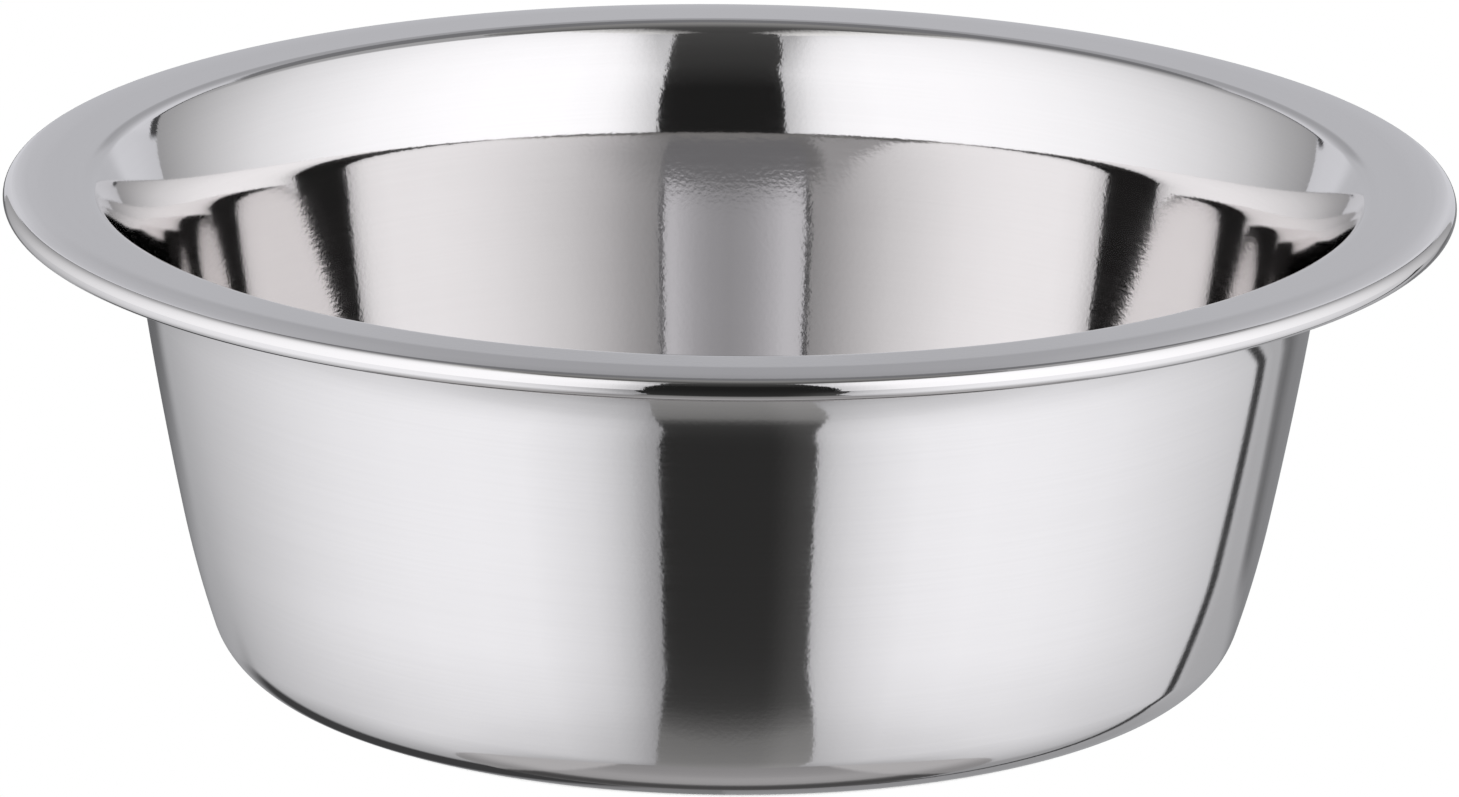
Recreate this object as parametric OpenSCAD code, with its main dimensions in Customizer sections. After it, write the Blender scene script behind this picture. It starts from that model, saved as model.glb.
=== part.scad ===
// Stainless pet bowl: one drawn sheet with a flat base, a gently curved wall, a flared mouth
// and a wide flat rim that ends in a rolled edge. The axis is Z and the base stands on z = 0.
// The profile is a chain of arcs and flat stretches of one sheet, each tangent to the next.

/* [Bowl] */
// Diameter over the rolled edge
rim_d = 250; // [180:1:320]
// Height from the base to the top of the rim
bowl_h = 86; // [70:1:105]
// Thickness of the steel sheet
sheet_t = 0.6; // [0.4:0.05:1]

/* [Base] */
// How far the flat of the base lies inside the body, on each side
base_in = 24; // [20:0.5:28]
// Outside radius of the corner between base and wall
corner_r = 13; // [8:0.5:17]

/* [Wall] */
// Outside radius of the wall's gentle curve
wall_r = 364; // [250:2:600]

/* [Mouth] */
// How far the mouth lies outside the body, on each side
flare_w = 11; // [9:0.5:13]
// Height of the mouth's zone, from where the body has its full width to the top
mouth_h = 20.5; // [16:0.5:26]
// Radius of the flare between wall and rim, on the under side
flare_r = 33.5; // [28:0.5:40]
// Radius of the bend from the flare into the rim, on the upper side
bend_r = 3.5; // [2:0.25:5]

/* [Rim] */
// Width of the flat of the rim
flat_w = 6.2; // [4:0.2:8]
// Width of the gentle crown outside the flat, to the middle of the rolled edge
crown_w = 5.35; // [3:0.05:7]
// Radius of the crown
crown_r = 32.5; // [22:0.5:60]
// Outside diameter of the rolled edge
roll_d = 3.9; // [3:0.1:5]
// How far the edge is rolled under, in degrees
roll_turn = 285; // [200:5:290]

/* [Hidden] */
// A full circle is drawn with this many sides in the preview
$fn = 180;
// Colour of the polished steel
steel_colour = "silver";
// A cut across the sheet reaches this far beyond both of its faces
cut_over = 0.3;
// The outline around an arc has a corner at least every so many degrees
corner_step = 45;
// Second of the three steps in which a point is placed
fine_step = 0.001;

// Radii of the bowl at each form, from the rolled edge inwards
roll_r = roll_d / 2;
roll_x = rim_d / 2 - roll_r;
crown_x = roll_x - crown_w;
mouth_x = crown_x - flat_w;
body_x = mouth_x - flare_w;
base_x = body_x - base_in;

// Corner between base and wall
corner_c = [base_x, corner_r];
base_cut = [[base_x, sheet_t + cut_over], [base_x, -cut_over]];

// The wall's arc leaves the corner's arc and reaches the body's full width below the mouth
wall_c = meeting(corner_c, wall_r - corner_r, [body_x, bowl_h - mouth_h], wall_r);
wall_low_a = direction(wall_c, corner_c);
wall_low_cut = cut(corner_c, corner_r, wall_low_a);

// The flare is tangent to the wall's arc and to the bend
bend_c = [mouth_x, bowl_h - bend_r];
flare_c = meeting(bend_c, flare_r + sheet_t - bend_r, wall_c, wall_r + flare_r);
wall_top_a = direction(wall_c, flare_c);
wall_top_cut = cut(wall_c, wall_r, wall_top_a);
flare_end_a = direction(flare_c, bend_c);
flare_end_cut = cut(bend_c, bend_r, flare_end_a);
mouth_cut = [for (z = [-sheet_t - cut_over, cut_over]) [mouth_x, bowl_h + z]];

// The crown falls from the flat of the rim to the rolled edge
crown_c = [crown_x, bowl_h - crown_r];
crown_cut = [for (z = [-sheet_t - cut_over, cut_over]) [crown_x, bowl_h + z]];
crown_a = asin(crown_w / (crown_r - roll_r));
roll_c = crown_c + (crown_r - roll_r) * facing(90 - crown_a);
roll_cut = cut(roll_c, roll_r, 90 - crown_a);
edge_a = 90 - crown_a - roll_turn;
edge_cut = cut(roll_c, roll_r, edge_a);

// Unit vector at an angle above the horizontal
function facing(a) = [cos(a), sin(a)];

// Angle above the horizontal of the way from one point to another
function direction(from, to) = atan2(to[1] - from[1], to[0] - from[0]);

// Point at given distances from two others, to the left of the way from the first to the second
function meeting(first, first_r, second, second_r) =
    let (gap = norm(second - first),
        along = (second - first) / gap,
        step = (first_r * first_r - second_r * second_r + gap * gap) / (2 * gap),
        side = sqrt(first_r * first_r - step * step))
    first + step * along + side * [-along[1], along[0]];

// The two ends of a cut across the sheet, square to an arc: the end near its centre comes first
function cut(centre, outer_r, a) =
    [for (r = [outer_r - sheet_t - cut_over, outer_r + cut_over]) centre + r * facing(a)];

function reversed(list) = [for (i = [len(list) - 1 : -1 : 0]) list[i]];

// Moves the children to a point in three ever finer steps, so that neighbouring arcs meet exactly
module placed(point) {
    coarse = [for (v = point) round(v)];
    fine = [for (v = point - coarse) round(v / fine_step) * fine_step];
    translate(coarse) translate(fine) translate(point - coarse - fine) children();
}

// One arc of the sheet around a centre, between two cuts at two angles
module arc_band(centre, outer_r, from_cut, from_a, to_cut, to_a) {
    corners = ceil(abs(to_a - from_a) / corner_step);
    half = (to_a - from_a) / (2 * corners);
    angles = [for (i = [1 : corners]) from_a + (2 * i - 1) * half];
    near = outer_r - sheet_t - cut_over;
    far = (outer_r + cut_over) / cos(half);
    intersection() {
        placed(centre) difference() {
            circle(r = outer_r);
            circle(r = outer_r - sheet_t);
        }
        polygon(concat(
            from_cut, [for (a = angles) centre + far * facing(a)],
            reversed(to_cut), [for (a = reversed(angles)) centre + near * facing(a)]));
    }
}

// One flat stretch of the sheet, from one radius of the bowl to another
module flat_band(from_x, to_x, under_z) {
    translate([from_x, under_z]) square([to_x - from_x, sheet_t]);
}

module base_profile() {
    flat_band(0, base_x, 0);
    arc_band(corner_c, corner_r, base_cut, -90, wall_low_cut, wall_low_a);
}

module wall_profile() {
    arc_band(wall_c, wall_r, wall_low_cut, wall_low_a, wall_top_cut, wall_top_a);
}

module mouth_profile() {
    arc_band(flare_c, flare_r + sheet_t, reversed(wall_top_cut), wall_top_a + 180,
        flare_end_cut, flare_end_a);
    arc_band(bend_c, bend_r, flare_end_cut, flare_end_a, mouth_cut, 90);
}

module rim_profile() {
    flat_band(mouth_x, crown_x, bowl_h - sheet_t);
    arc_band(crown_c, crown_r, crown_cut, 90, roll_cut, 90 - crown_a);
    arc_band(roll_c, roll_r, roll_cut, 90 - crown_a, edge_cut, edge_a);
}

module bowl() {
    color(steel_colour) rotate_extrude() {
        base_profile();
        wall_profile();
        mouth_profile();
        rim_profile();
    }
}

bowl();
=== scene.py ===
# Polished stainless pet bowl: one drawn sheet with a wide flat rim and a rolled edge
import bpy
import bmesh
from math import asin, atan2, cos, degrees, pi, radians, sin, sqrt
from mathutils import Matrix, Vector


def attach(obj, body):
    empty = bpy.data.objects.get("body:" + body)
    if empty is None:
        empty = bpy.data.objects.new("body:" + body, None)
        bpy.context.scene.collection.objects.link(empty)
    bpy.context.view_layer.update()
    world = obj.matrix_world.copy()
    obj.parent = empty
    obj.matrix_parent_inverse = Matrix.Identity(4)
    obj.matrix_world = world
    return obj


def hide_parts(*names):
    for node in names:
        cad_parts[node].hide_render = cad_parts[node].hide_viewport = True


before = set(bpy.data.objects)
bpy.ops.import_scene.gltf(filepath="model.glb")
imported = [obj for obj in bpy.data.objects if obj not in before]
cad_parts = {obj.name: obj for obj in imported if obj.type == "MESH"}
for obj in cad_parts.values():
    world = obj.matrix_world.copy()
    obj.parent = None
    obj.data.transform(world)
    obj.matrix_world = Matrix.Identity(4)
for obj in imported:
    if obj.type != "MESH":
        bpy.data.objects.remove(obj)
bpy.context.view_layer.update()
mm = 0.001
print("frame loaded")


def newMaterial(name):
    material = bpy.data.materials.new(name)
    material.use_nodes = True
    material.node_tree.nodes.clear()
    return material


def addNode(tree, kind, settings=None, values=None, links=None):
    node = tree.nodes.new(kind)
    for key, value in (settings or {}).items():
        setattr(node, key, value)
    for key, value in (values or {}).items():
        node.inputs[key].default_value = value
    for key, socket in (links or {}).items():
        tree.links.new(socket, node.inputs[key])
    return node


def feed(tree, socket, term):  # a plain number is set on the socket, anything else is linked to it
    if isinstance(term, (int, float)):
        socket.default_value = term
    else:
        tree.links.new(term, socket)


def mathNode(tree, operation, *terms):
    node = addNode(tree, "ShaderNodeMath", {"operation": operation})
    for socket, term in zip(node.inputs, terms):
        feed(tree, socket, term)
    return node.outputs[0]


def times(tree, first, second):
    return mathNode(tree, "MULTIPLY", first, second)


def smoothStep(tree, value, low, high, outLow=0.0, outHigh=1.0):
    node = addNode(tree, "ShaderNodeMapRange", {"interpolation_type": "SMOOTHSTEP"}, links={"Value": value})
    for key, edge in (("From Min", low), ("From Max", high), ("To Min", outLow), ("To Max", outHigh)):
        feed(tree, node.inputs[key], edge)
    return node.outputs["Result"]


def band(tree, value, low, high, soft):  # 1 between the two edges, 0 outside
    return times(tree, smoothStep(tree, value, low - soft, low + soft),
                 smoothStep(tree, value, high - soft, high + soft, 1.0, 0.0))


def mixLevels(tree, share, first, second):
    node = addNode(tree, "ShaderNodeMix", {"data_type": "FLOAT"})
    for place, term in ((0, share), (2, first), (3, second)):
        feed(tree, node.inputs[place], term)
    return node.outputs[0]


def ramp(tree, value, stops):  # stops are pairs of place and level
    low, high = stops[0][0], stops[-1][0]
    top = max(level for place, level in stops)
    share = addNode(tree, "ShaderNodeMapRange", values={"From Min": low, "From Max": high},
                    links={"Value": value})
    node = addNode(tree, "ShaderNodeValToRGB", links={0: share.outputs[0]})
    marks = node.color_ramp.elements
    while len(marks) < len(stops):
        marks.new(0.5)
    for mark, (place, level) in zip(marks, stops):
        mark.position = (place - low) / (high - low)
        mark.color = (level / top, level / top, level / top, 1)
    return times(tree, node.outputs[0], top)


def objectPlace(tree):
    coords = addNode(tree, "ShaderNodeTexCoord")
    parts = addNode(tree, "ShaderNodeSeparateXYZ", links={0: coords.outputs["Object"]})
    return parts.outputs


def meshObject(name, bm, *materials):
    mesh = bpy.data.meshes.new(name)
    bm.to_mesh(mesh)
    bm.free()
    for face in mesh.polygons:
        face.use_smooth = True
    for material in materials:
        mesh.materials.append(material)
    piece = bpy.data.objects.new(name, mesh)
    bpy.context.scene.collection.objects.link(piece)
    return piece


camera = {
    "sensor": 36,
    "pictureWide": 1459,
    "focalPixels": 14000,
    "distance": 19.3487 * 0.125,
    "elevation": 0.2793,
    "roll": 0.0104,
    "aside": 0.0003,
    "aimHeight": 0.3749 * 0.125,
    "clipEnd": 50,
}


def makeCamera(c):
    data = bpy.data.cameras.new("camera")
    data.sensor_width = c["sensor"]
    data.lens = c["sensor"] * c["focalPixels"] / c["pictureWide"]
    data.clip_end = c["clipEnd"]
    holder = bpy.data.objects.new("camera", data)
    bpy.context.scene.collection.objects.link(holder)
    holder.location = (c["aside"], -c["distance"] * cos(c["elevation"]),
                       c["aimHeight"] + c["distance"] * sin(c["elevation"]))
    tilt = Matrix.Rotation(pi / 2 - c["elevation"], 4, "X")
    holder.rotation_euler = (tilt @ Matrix.Rotation(c["roll"], 4, "Z")).to_euler()
    bpy.context.scene.camera = holder


makeCamera(camera)
print("camera set")


polish = {
    "linesLong": 22,        # how often the polishing lines change along their run, per metre
    "linesFine": 1900,      # and across it
    "linesDetail": 2.0,
    "bandsLong": 7,
    "bandsFine": 130,
    "bandsDetail": 3.0,
    "wavesFine": 1300,
    "wavesDetail": 1.5,
    "lineShare": 0.55,
    "roughSpan": (0.38, 0.62),
    "shadeSpan": (0.35, 0.65),
}


def makePolishMarks(p):
    # lines run round the bowl: radius plus height grows across them on wall, rim and base alike
    group = bpy.data.node_groups.new("polishMarks", "ShaderNodeTree")
    for name in ("Line Depth", "Wave Depth", "Roughness", "Roughness Spread"):
        group.interface.new_socket(name, in_out="INPUT", socket_type="NodeSocketFloat")
    for name in ("Height", "Roughness", "Shade"):
        group.interface.new_socket(name, in_out="OUTPUT", socket_type="NodeSocketFloat")
    given = addNode(group, "NodeGroupInput")
    coords = addNode(group, "ShaderNodeTexCoord")
    place = coords.outputs["Object"]
    parts = addNode(group, "ShaderNodeSeparateXYZ", links={0: place})
    flat = addNode(group, "ShaderNodeCombineXYZ", links={0: parts.outputs[0], 1: parts.outputs[1]})
    radius = addNode(group, "ShaderNodeVectorMath", {"operation": "LENGTH"}, links={0: flat.outputs[0]})
    across = mathNode(group, "ADD", radius.outputs["Value"], parts.outputs[2])

    def ringNoise(along, over, detail):
        spread = addNode(group, "ShaderNodeCombineXYZ", links={
            0: times(group, parts.outputs[0], along),
            1: times(group, parts.outputs[1], along),
            2: times(group, across, over)})
        noise = addNode(group, "ShaderNodeTexNoise", values={"Scale": 1.0, "Detail": detail},
                        links={"Vector": spread.outputs[0]})
        return noise.outputs["Fac"]

    lines = ringNoise(p["linesLong"], p["linesFine"], p["linesDetail"])
    bands = ringNoise(p["bandsLong"], p["bandsFine"], p["bandsDetail"])
    waves = addNode(group, "ShaderNodeTexNoise", values={"Scale": p["wavesFine"], "Detail": p["wavesDetail"]},
                    links={"Vector": place})
    height = mathNode(group, "ADD", times(group, lines, given.outputs["Line Depth"]),
                      times(group, waves.outputs["Fac"], given.outputs["Wave Depth"]))
    marks = mathNode(group, "ADD", times(group, lines, p["lineShare"]),
                     times(group, bands, 1 - p["lineShare"]))
    rough = mathNode(group, "MULTIPLY_ADD", smoothStep(group, marks, *p["roughSpan"], -1.0, 1.0),
                     given.outputs["Roughness Spread"], given.outputs["Roughness"])
    shade = smoothStep(group, marks, *p["shadeSpan"])
    addNode(group, "NodeGroupOutput", links={"Height": height, "Roughness": rough, "Shade": shade})
    return group


polishMarks = makePolishMarks(polish)

insideSteel = {
    "lineDepth": 0.12,
    "waveDepth": 1.3,
    "depth": 0.0024 * mm,
    "roughness": 0.045,
    "spread": 0.006,
    "light": (0.812, 0.795, 0.789, 1),
    "dull": (0.802, 0.785, 0.779, 1),
}
outsideSteel = {
    "lineDepth": 0.2,
    "waveDepth": 1.2,
    "depth": 0.0024 * mm,
    "roughness": 0.06,
    "spread": 0.01,
    "light": (0.814, 0.797, 0.791, 1),
    "dull": (0.800, 0.783, 0.777, 1),
}


def polishedSteel(name, s):
    material = newMaterial(name)
    tree = material.node_tree
    marks = addNode(tree, "ShaderNodeGroup", {"node_tree": polishMarks}, {
        "Line Depth": s["lineDepth"], "Wave Depth": s["waveDepth"],
        "Roughness": s["roughness"], "Roughness Spread": s["spread"]})
    tone = addNode(tree, "ShaderNodeMix", {"data_type": "RGBA"}, {6: s["dull"], 7: s["light"]},
                   links={0: marks.outputs["Shade"]})
    bump = addNode(tree, "ShaderNodeBump", values={"Distance": s["depth"]},
                   links={"Height": marks.outputs["Height"]})
    shader = addNode(tree, "ShaderNodeBsdfPrincipled", values={"Metallic": 1.0}, links={
        "Base Color": tone.outputs[2], "Roughness": marks.outputs["Roughness"], "Normal": bump.outputs[0]})
    addNode(tree, "ShaderNodeOutputMaterial", links={0: shader.outputs[0]})
    return material


bowl = {
    "rimAcross": 249.9 * mm,
    "height": 86 * mm,
    "sheet": 0.6 * mm,
    "baseAcross": 153 * mm,
    "baseShares": (0.15, 0.3, 0.45, 0.6, 0.75, 0.88, 0.96, 0.99, 1),
    "cornerRadius": 13 * mm,
    "cornerSteps": 30,
    "bodyAcross": 201.6 * mm,
    "bodyAt": 65.5 * mm,
    "bodySlope": 9.0,       # the wall is nearly straight above and rounder below
    "upperRadius": 800 * mm,
    "lowerRadius": 180 * mm,
    "wallSteps": 12,
    "mouthAcross": 223 * mm,
    "flareRadius": 33.5 * mm,
    "flareSteps": 24,
    "bendRadius": 3.5 * mm,
    "bendSteps": 16,
    "flatWidth": 6.2 * mm,
    "flatShares": (0.04, 0.3, 0.7, 0.96, 1),
    "crownRadius": 32.5 * mm,
    "crownSteps": 8,
    "rollAcross": 3.9 * mm,
    "rollTurn": 285,
    "rollSteps": 44,
    "stepsRound": 256,
    "mergeWithin": 0.002 * mm,
}


def facing(a):
    return Vector((cos(radians(a)), 0, sin(radians(a))))


def direction(start, end):
    return degrees(atan2(end.z - start.z, end.x - start.x))


def meeting(first, firstRadius, second, secondRadius):  # to the left of the way from first to second
    gap = (second - first).length
    along = (second - first) / gap
    step = (firstRadius ** 2 - secondRadius ** 2 + gap ** 2) / (2 * gap)
    side = sqrt(firstRadius ** 2 - step ** 2)
    return first + step * along + side * Vector((-along.z, 0, along.x))


def bendFrom(bm, vert, centre, turn, steps):  # turn in degrees, positive to the left
    made = bmesh.ops.spin(bm, geom=[vert], cent=centre, axis=(0, -1, 0), angle=radians(turn), steps=steps)
    return [g for g in made["geom_last"] if isinstance(g, bmesh.types.BMVert)][0]


def straightFrom(bm, vert, x, shares):
    start = vert.co.copy()
    for share in shares:
        vert = bmesh.ops.extrude_vert_indiv(bm, verts=[vert])["verts"][0]
        vert.co.x = start.x + (x - start.x) * share
    return vert


def makeBowl(b, outside, inside):
    # the profile follows the sheet's outer face, from the axis to the rolled edge
    baseX = b["baseAcross"] / 2
    cornerCentre = Vector((baseX, 0, b["cornerRadius"]))
    bodyPoint = Vector((b["bodyAcross"] / 2, 0, b["bodyAt"]))
    upperCentre = bodyPoint - b["upperRadius"] * facing(-b["bodySlope"])
    lowerCentre = meeting(upperCentre, b["upperRadius"] - b["lowerRadius"],
                          cornerCentre, b["lowerRadius"] - b["cornerRadius"])
    mouthX = b["mouthAcross"] / 2
    bendCentre = Vector((mouthX, 0, b["height"] - b["bendRadius"]))
    flareCentre = meeting(bendCentre, b["flareRadius"] + b["sheet"] - b["bendRadius"],
                          upperCentre, b["upperRadius"] + b["flareRadius"])
    wallLow = direction(lowerCentre, cornerCentre)
    wallJoin = direction(upperCentre, lowerCentre)
    wallTop = direction(upperCentre, flareCentre)
    flareEnd = direction(flareCentre, bendCentre)
    crownX = mouthX + b["flatWidth"]
    rollX = (b["rimAcross"] - b["rollAcross"]) / 2
    crownTurn = degrees(asin((rollX - crownX) / (b["crownRadius"] - b["rollAcross"] / 2)))
    crownCentre = Vector((crownX, 0, b["height"] - b["crownRadius"]))
    rollCentre = crownCentre + (b["crownRadius"] - b["rollAcross"] / 2) * facing(90 - crownTurn)

    bm = bmesh.new()
    tip = bm.verts.new((0, 0, 0))
    tip = straightFrom(bm, tip, baseX, b["baseShares"])
    tip = bendFrom(bm, tip, cornerCentre, wallLow + 90, b["cornerSteps"])
    tip = bendFrom(bm, tip, lowerCentre, wallJoin - wallLow, b["wallSteps"])
    tip = bendFrom(bm, tip, upperCentre, wallTop - wallJoin, b["wallSteps"])
    tip = bendFrom(bm, tip, flareCentre, flareEnd - wallTop - 180, b["flareSteps"])
    tip = bendFrom(bm, tip, bendCentre, 90 - flareEnd, b["bendSteps"])
    tip = straightFrom(bm, tip, crownX, b["flatShares"])
    tip = bendFrom(bm, tip, crownCentre, -crownTurn, b["crownSteps"])
    bendFrom(bm, tip, rollCentre, -b["rollTurn"], b["rollSteps"])
    # full turn round the axis
    bmesh.ops.spin(bm, geom=bm.verts[:] + bm.edges[:], cent=(0, 0, 0), axis=(0, 0, 1),
                   angle=2 * pi, steps=b["stepsRound"], use_merge=True)
    bmesh.ops.remove_doubles(bm, verts=bm.verts, dist=b["mergeWithin"])
    bmesh.ops.recalc_face_normals(bm, faces=bm.faces)
    lowFace = min(bm.faces, key=lambda f: f.calc_center_median().z)
    if lowFace.normal.z > 0:  # the base looks down
        bmesh.ops.reverse_faces(bm, faces=bm.faces)
    piece = meshObject("bowlSheet", bm, outside, inside)
    wall = piece.modifiers.new("sheet", "SOLIDIFY")
    wall.thickness = b["sheet"]
    wall.offset = -1
    wall.use_even_offset = True
    wall.material_offset = 1  # the inside, the top of the rim and the rolled edge
    wall.material_offset_rim = 1
    return piece


sheet = makeBowl(bowl, polishedSteel("outsideSteel", outsideSteel), polishedSteel("insideSteel", insideSteel))
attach(sheet, "root")
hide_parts("bowl")
print("bowl made")


# light panels stand round the bowl; azimuth 0 is towards the camera and grows to the right
# a span is the two places between which one level passes into the next
tent = {
    "radius": 0.72,
    "low": -1.2,
    "high": 1.85,
    "gapLeft": -9,
    "gapRight": 12,
    "leftEnd": -150,
    "rightEnd": 146,
    "backEnd": 210,
    "faceTurn": 4,
    "outerRadius": 0.864,
    "outerLevel": 0.03,
    "capRadius": 0.8784,
    "capSides": 64,
    "highTint": (1, 1.005, 1.035),
    "lowTint": (1, 1.008, 1.045),
    "backTint": (0.985, 0.997, 1.055),
    "groundTint": (1, 0.99, 1.01),
    "plainTint": (1, 1, 1),
    "heights": ((-1.2, 0.47), (-1.05, 0.55), (-0.95, 0.62), (-0.8, 0.69), (-0.7, 0.77), (-0.65, 0.84),
                (-0.6, 0.89), (-0.55, 0.92), (-0.48, 0.97), (-0.4, 1), (0.8, 1), (1.2, 0.97), (1.5, 0.93),
                (1.7, 0.88), (1.85, 0.8)),
    "sideHeights": ((-1.2, 0.76), (-1.05, 0.79), (-0.95, 0.82), (-0.8, 0.85), (-0.6, 0.87), (-0.53, 0.9),
                    (-0.47, 0.96), (-0.4, 1)),
}


def placeOn(tree, backwards=False):  # azimuth in degrees and height of a panel's point
    x, y, z = objectPlace(tree)
    if backwards:  # counted through the back, from 0 to 360
        angle = mathNode(tree, "ARCTAN2", times(tree, x, -1.0), y)
        return mathNode(tree, "MULTIPLY_ADD", angle, 180 / pi, 180.0), z
    angle = mathNode(tree, "ARCTAN2", x, times(tree, y, -1.0))
    return times(tree, angle, 180 / pi), z


def leaning(tree, azimuth, height, below, rate):  # below a height the azimuth is counted further on
    depth = mathNode(tree, "MINIMUM", mathNode(tree, "SUBTRACT", height, below), 0.0)
    return mathNode(tree, "MULTIPLY_ADD", depth, rate, azimuth)


highPanels = {
    "left": ((-150, 0.35), (-146, 0.41), (-139, 0.49), (-127, 0.67), (-112, 0.85), (-97, 0.98), (-82, 1.09),
             (-67, 1.16), (-52, 1.2), (-33, 1.2), (-24, 1.14), (-20, 1.07), (-17, 0.95), (-13.5, 0.71),
             (-10, 0.53)),
    "right": ((15, 0.68), (17.5, 0.8), (20.5, 0.96), (24, 1.11), (27.5, 1.19), (37, 1.25), (55, 1.25),
              (67, 1.22), (82, 1.15), (97, 1.02), (112, 0.87), (127, 0.65), (139, 0.46), (146, 0.36)),
    "wideAbove": 0.78,
    "wideRate": 9.4,
    "wideSpan": (30, 60),
    "rearSpan": (-150, -100),
    "rearHeight": (0.55, 0.9),
    "rearShare": 0.8,
    "edgeRate": 0.0175,
    "edgeStart": -2.9725,
    "edgeSpan": (-0.1, 0.16),
    "edgeLevel": 0.42,
    "cornerSpan": (136, 142),
    "cornerHeight": (0.68, 0.76),
    "cornerLevel": 0.21,
}


def widening(tree, azimuth, height):  # above the bowl the light starts further out
    h = highPanels
    reach = mathNode(tree, "MAXIMUM", mathNode(tree, "SUBTRACT", height, h["wideAbove"]), 0.0)
    away = mathNode(tree, "ABSOLUTE", azimuth)
    return times(tree, reach, smoothStep(tree, away, *h["wideSpan"], h["wideRate"], 0.0))


def leftHigh(tree):
    h = highPanels
    azimuth, height = placeOn(tree)
    shifted = mathNode(tree, "ADD", azimuth, widening(tree, azimuth, height))
    level = times(tree, ramp(tree, shifted, h["left"]), ramp(tree, height, tent["heights"]))
    rear = times(tree, smoothStep(tree, height, *h["rearHeight"]),
                 smoothStep(tree, azimuth, *h["rearSpan"], 1.0, 0.0))
    return mixLevels(tree, rear, level, times(tree, level, h["rearShare"]))


def rightHigh(tree):
    h = highPanels
    azimuth, height = placeOn(tree)
    shifted = mathNode(tree, "SUBTRACT", azimuth, widening(tree, azimuth, height))
    level = times(tree, ramp(tree, shifted, h["right"]), ramp(tree, height, tent["heights"]))
    slope = mathNode(tree, "MULTIPLY_ADD", azimuth, h["edgeRate"], h["edgeStart"])
    edge = smoothStep(tree, mathNode(tree, "ADD", height, slope), *h["edgeSpan"])
    level = mixLevels(tree, edge, level, h["edgeLevel"])
    corner = times(tree, smoothStep(tree, azimuth, *h["cornerSpan"]),
                   smoothStep(tree, height, *h["cornerHeight"]))
    return mixLevels(tree, corner, level, h["cornerLevel"])


lowPanels = {
    "left": ((-180, 0.25), (-142, 0.46), (-135, 0.52), (-127, 0.6), (-112, 0.73), (-97, 0.86), (-82, 0.96),
             (-67, 1.02), (-52, 1.04), (-41, 1.02), (-33, 0.93), (-27, 0.85), (-23, 0.75), (-19, 0.61),
             (-16, 0.45), (-13, 0.33)),
    "right": ((15, 0.36), (18, 0.55), (21, 0.7), (25, 0.81), (31, 0.92), (39, 1.02), (52, 1.06), (67, 1.04),
              (82, 0.98), (97, 0.87), (112, 0.76), (125, 0.66), (131, 0.5), (134, 0.46), (155, 0.4),
              (180, 0.33)),
    "sideSpan": (50, 105),
    "darkAcross": (-170, -141),
    "darkSoft": 4,
    "darkHeight": (-0.42, -0.3),
    "darkLevel": 0.05,
    "endSpan": (-153, -144),
    "endHeight": (-0.26, -0.15),
    "endLevel": 0.14,
    "stripSpan": (132.5, 133.5),
    "stripHeight": (-0.29, -0.24),
    "stripBelow": -0.2,
    "stripRate": 70,
    "stripLevels": ((136.5, 0.46), (140, 0.2), (143, 0.16), (146, 0.2), (150, 0.24), (180, 0.26)),
    "slitAt": 127.4,
    "slitSpan": (1, 3),
    "slitBelow": -0.5,
    "slitRate": 50,
    "slitHeight": (-0.6, -0.42),
    "slitShare": 0.6,
    "slitLevel": 0.05,
}


def falling(tree, azimuth, height):  # the low panels darken downwards, less so at the sides
    share = smoothStep(tree, mathNode(tree, "ABSOLUTE", azimuth), *lowPanels["sideSpan"])
    return mixLevels(tree, share, ramp(tree, height, tent["heights"]),
                     ramp(tree, height, tent["sideHeights"]))


def leftLow(tree):
    w = lowPanels
    azimuth, height = placeOn(tree)
    level = times(tree, ramp(tree, azimuth, w["left"]), falling(tree, azimuth, height))
    dark = times(tree, band(tree, azimuth, *w["darkAcross"], w["darkSoft"]),
                 smoothStep(tree, height, *w["darkHeight"], 1.0, 0.0))
    end = times(tree, smoothStep(tree, azimuth, *w["endSpan"], 1.0, 0.0),
                smoothStep(tree, height, *w["endHeight"]))
    return mixLevels(tree, end, mixLevels(tree, dark, level, w["darkLevel"]), w["endLevel"])


def rightLow(tree):
    w = lowPanels
    azimuth, height = placeOn(tree)
    level = times(tree, ramp(tree, azimuth, w["right"]), falling(tree, azimuth, height))
    strip = times(tree, smoothStep(tree, azimuth, *w["stripSpan"]),
                  smoothStep(tree, height, *w["stripHeight"]))
    stripPlace = leaning(tree, azimuth, height, w["stripBelow"], w["stripRate"])
    level = mixLevels(tree, strip, level, ramp(tree, stripPlace, w["stripLevels"]))
    slitPlace = leaning(tree, azimuth, height, w["slitBelow"], w["slitRate"])
    away = mathNode(tree, "ABSOLUTE", mathNode(tree, "SUBTRACT", slitPlace, w["slitAt"]))
    # the slit is wider low down
    away = times(tree, away, smoothStep(tree, height, *w["slitHeight"], w["slitShare"], 1.0))
    return mixLevels(tree, smoothStep(tree, away, *w["slitSpan"], 1.0, 0.0), level, w["slitLevel"])


backdrop = {
    "middle": 180,
    "levels": ((146, 0.7), (152, 0.74), (156, 0.74), (160, 0.65), (166, 0.53), (172, 0.44), (180, 0.395),
               (188, 0.43), (194, 0.5), (200, 0.62), (204, 0.72), (207.5, 0.68), (209.3, 0.4), (210, 0.35)),
    "lowLevels": ((0, 0.535), (12, 0.54), (15.7, 0.565), (17.2, 0.62), (18.6, 0.68), (20, 0.71), (26, 0.7),
                  (34, 0.64)),
    "lowHeight": (0.3, 0.36),
    "fadeHeight": (0.5, 0.7),
    "fadeShare": 0.9,
    "blockHeight": (0.685, 0.745),
    "blockLevel": 0.205,
    "slitNear": (147.9, 148.5),
    "slitFar": (207.7, 209.3),
    "slitSoft": 0.3,
    "slitHeight": (0.31, 0.69),
    "slitHeightSoft": 0.02,
    "slitLevel": 0.06,
}


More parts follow.
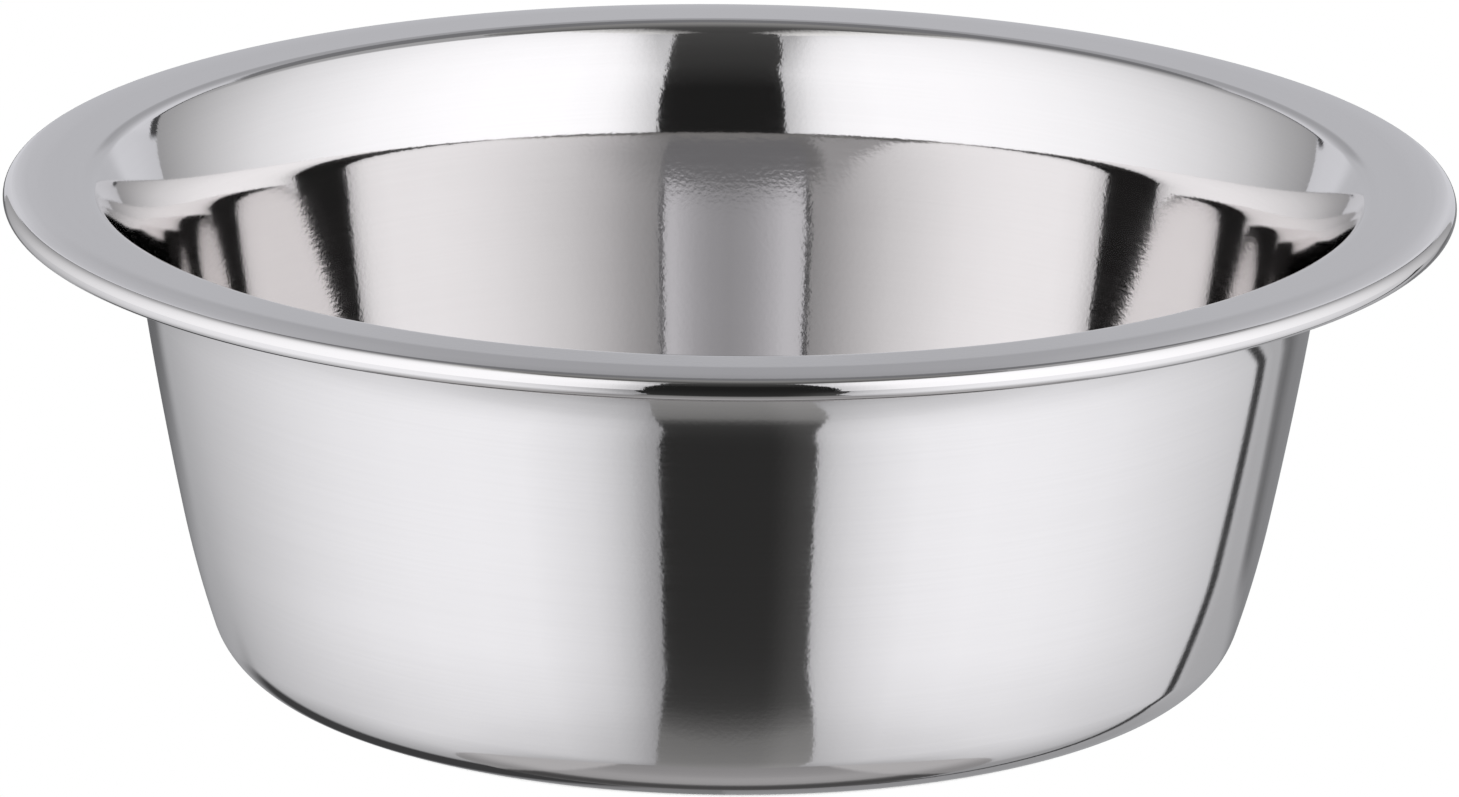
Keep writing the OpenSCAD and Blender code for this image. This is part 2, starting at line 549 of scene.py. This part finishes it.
def back(tree):
    d = backdrop
    azimuth, height = placeOn(tree, True)
    away = mathNode(tree, "ABSOLUTE", mathNode(tree, "SUBTRACT", azimuth, d["middle"]))
    level = mixLevels(tree, smoothStep(tree, height, *d["lowHeight"]),
                      ramp(tree, away, d["lowLevels"]), ramp(tree, azimuth, d["levels"]))
    level = times(tree, level, smoothStep(tree, height, *d["fadeHeight"], 1.0, d["fadeShare"]))
    level = mixLevels(tree, smoothStep(tree, height, *d["blockHeight"]), level, d["blockLevel"])
    slits = mathNode(tree, "MAXIMUM", smoothStep(tree, azimuth, *d["slitNear"], 1.0, 0.0),
                     band(tree, azimuth, *d["slitFar"], d["slitSoft"]))
    slits = times(tree, slits, band(tree, height, *d["slitHeight"], d["slitHeightSoft"]))
    return mixLevels(tree, slits, level, d["slitLevel"])


# the dark card in front has the camera's opening in it; its rows are height, left edge and right edge
frontCard = {
    "at": -0.66,
    "rows": ((-1.2, -0.26, 0.32), (-0.75, -0.205, 0.278), (-0.651, -0.184, 0.258), (-0.511, -0.155, 0.219),
             (-0.418, -0.154, 0.2085), (-0.02, -0.1515, 0.204), (0.02, -0.1371, 0.183),
             (0.805, -0.1371, 0.183), (1.04, -0.1575, 0.1915), (1.464, -0.1785, 0.2105),
             (1.85, -0.1925, 0.2275)),
    "levels": ((-1.2, 0.28), (-1.0, 0.255), (-0.82, 0.225), (-0.75, 0.205), (-0.7, 0.185), (-0.675, 0.155),
               (-0.648, 0.111), (-0.615, 0.077), (-0.59, 0.053), (-0.55, 0.042), (-0.42, 0.03), (0.18, 0.015),
               (0.55, 0.015), (0.74, 0.03), (0.93, 0.042), (1.2, 0.05), (1.45, 0.058), (1.85, 0.067)),
    "rise": 0.035,
    "riseSpan": (8, 17),
    "riseHeight": (-0.2, 0.0),
}


def cardShade(tree):
    c = frontCard
    azimuth, height = placeOn(tree)
    rise = times(tree, smoothStep(tree, azimuth, *c["riseSpan"], 0.0, c["rise"]),
                 smoothStep(tree, height, *c["riseHeight"], 1.0, 0.0))
    return mathNode(tree, "ADD", ramp(tree, height, c["levels"]), rise)


ceilingLight = {
    "middleSpan": (-0.75, 0.6),
    "middleLevels": (0.06, 0.27),
    "leftSpan": (-1.02, -0.66),
    "farLeftSpan": (-0.66, -0.4),
    "farLeftLevel": 0.7,
    "rightSpan": (0.7, 1.04),
    "rightLevel": 0.85,
}


def ceiling(tree):
    c = ceilingLight
    x, y, z = objectPlace(tree)
    middle = smoothStep(tree, y, *c["middleSpan"], *c["middleLevels"])
    left = smoothStep(tree, mathNode(tree, "ADD", x, y), *c["leftSpan"], 1.0, 0.0)
    farLeft = smoothStep(tree, x, *c["farLeftSpan"], c["farLeftLevel"], 0.0)
    right = smoothStep(tree, mathNode(tree, "SUBTRACT", x, y), *c["rightSpan"], 0.0, c["rightLevel"])
    sides = mathNode(tree, "MAXIMUM", mathNode(tree, "MAXIMUM", left, farLeft), right)
    return mathNode(tree, "MAXIMUM", sides, middle)


groundLight = {
    "levels": ((-0.72, 0.28), (-0.5, 0.3), (-0.3, 0.325), (-0.1, 0.385), (0.05, 0.385), (0.2, 0.34),
               (0.3, 0.12), (0.4, 0.07), (0.6, 0.08), (0.72, 0.2)),
    "outsideAt": (0.37, 0.42),
    "outsideSpan": (0.0, 0.4),
    "outsideLevels": (0.5, 0.3),
}


def ground(tree):
    g = groundLight
    x, y, z = objectPlace(tree)
    outside = smoothStep(tree, mathNode(tree, "ABSOLUTE", x), *g["outsideAt"])
    outsideLevel = smoothStep(tree, y, *g["outsideSpan"], *g["outsideLevels"])
    return mixLevels(tree, outside, ramp(tree, y, g["levels"]), outsideLevel)


def glow(name, shape, tint=tent["plainTint"]):
    material = newMaterial(name)
    tree = material.node_tree
    level = shape if isinstance(shape, float) else shape(tree)
    emission = addNode(tree, "ShaderNodeEmission", values={"Color": (*tint, 1)})
    feed(tree, emission.inputs["Strength"], level)
    addNode(tree, "ShaderNodeOutputMaterial", links={0: emission.outputs[0]})
    return material


def hideFromCamera(card):
    card.visible_camera = False


def wallPatch(name, radius, fromAz, toAz, low, high, material):
    bm = bmesh.new()
    a = radians(fromAz)
    ends = [bm.verts.new((radius * sin(a), -radius * cos(a), z)) for z in (low, high)]
    edge = bm.edges.new(ends)
    bmesh.ops.spin(bm, geom=ends + [edge], cent=(0, 0, 0), axis=(0, 0, 1), angle=radians(toAz - fromAz),
                   steps=round((toAz - fromAz) / tent["faceTurn"]))
    hideFromCamera(meshObject(name, bm, material))


def makeCard(c):
    bm = bmesh.new()
    z, left, right = c["rows"][0]
    edge = bm.edges.new([bm.verts.new((x, c["at"], z)) for x in (left, right)])
    for z, *sides in c["rows"][1:]:
        made = bmesh.ops.extrude_edge_only(bm, edges=[edge])["geom"]
        ends = sorted((g for g in made if isinstance(g, bmesh.types.BMVert)), key=lambda v: v.co.x)
        for vert, x in zip(ends, sides):
            vert.co = (x, c["at"], z)
        edge = bm.edges.get(ends)
    hideFromCamera(meshObject("frontCard", bm, glow("frontCardShade", cardShade)))


def makeCap(name, z, material):
    bm = bmesh.new()
    bmesh.ops.create_circle(bm, cap_ends=True, radius=tent["capRadius"], segments=tent["capSides"],
                            matrix=Matrix.Translation((0, 0, z)))
    hideFromCamera(meshObject(name, bm, material))


def makeStudio(t):
    r, low, high = t["radius"], t["low"], t["high"]
    leftHighLight = glow("leftPanelLight", leftHigh, t["highTint"])
    rightHighLight = glow("rightPanelLight", rightHigh, t["highTint"])
    leftLowLight = glow("leftLowLight", leftLow, t["lowTint"])
    rightLowLight = glow("rightLowLight", rightLow, t["lowTint"])
    wallPatch("leftPanel", r, t["leftEnd"], t["gapLeft"], 0, high, leftHighLight)
    wallPatch("rightPanel", r, t["gapRight"], t["rightEnd"], 0, high, rightHighLight)
    wallPatch("leftLowPanel", r, -180, t["gapLeft"], low, 0, leftLowLight)
    wallPatch("rightLowPanel", r, t["gapRight"], 180, low, 0, rightLowLight)
    wallPatch("backdrop", r, t["rightEnd"], t["backEnd"], 0, high, glow("backdropLight", back, t["backTint"]))
    wallPatch("darkTent", t["outerRadius"], -180, 180, low, high, glow("darkTentLight", t["outerLevel"]))
    makeCard(frontCard)
    makeCap("ceiling", high, glow("ceilingLight", ceiling))
    makeCap("ground", low, glow("groundLight", ground, t["groundTint"]))


floorPlate = {
    "radius": 0.4,
    "sides": 64,
    "paintFrom": 0.0745,    # painted only in a ring where the base meets the floor
    "paintTo": 0.0785,
    "soft": 0.0015,
    "colour": (0.85, 0.85, 0.85, 1),
}


def floorMaterial(f):
    material = newMaterial("paleFloor")
    tree = material.node_tree
    coords = addNode(tree, "ShaderNodeTexCoord")
    radius = addNode(tree, "ShaderNodeVectorMath", {"operation": "LENGTH"},
                     links={0: coords.outputs["Object"]})
    painted = band(tree, radius.outputs["Value"], f["paintFrom"], f["paintTo"], f["soft"])
    paint = addNode(tree, "ShaderNodeBsdfDiffuse", values={"Color": f["colour"]})
    clear = addNode(tree, "ShaderNodeBsdfTransparent")
    mix = addNode(tree, "ShaderNodeMixShader", links={0: painted, 1: clear.outputs[0], 2: paint.outputs[0]})
    addNode(tree, "ShaderNodeOutputMaterial", links={0: mix.outputs[0]})
    return material


def makeFloor(f):
    bm = bmesh.new()
    bmesh.ops.create_circle(bm, cap_ends=True, radius=f["radius"], segments=f["sides"])
    meshObject("floor", bm, floorMaterial(f))


def makeWorld():
    world = bpy.data.worlds.new("studio")
    bpy.context.scene.world = world
    world.use_nodes = True
    background = world.node_tree.nodes["Background"]
    background.inputs["Color"].default_value = (1, 1, 1, 1)
    background.inputs["Strength"].default_value = 1.0


makeStudio(tent)
makeFloor(floorPlate)
makeWorld()
bpy.context.scene.view_settings.view_transform = "Standard"
print("studio made")
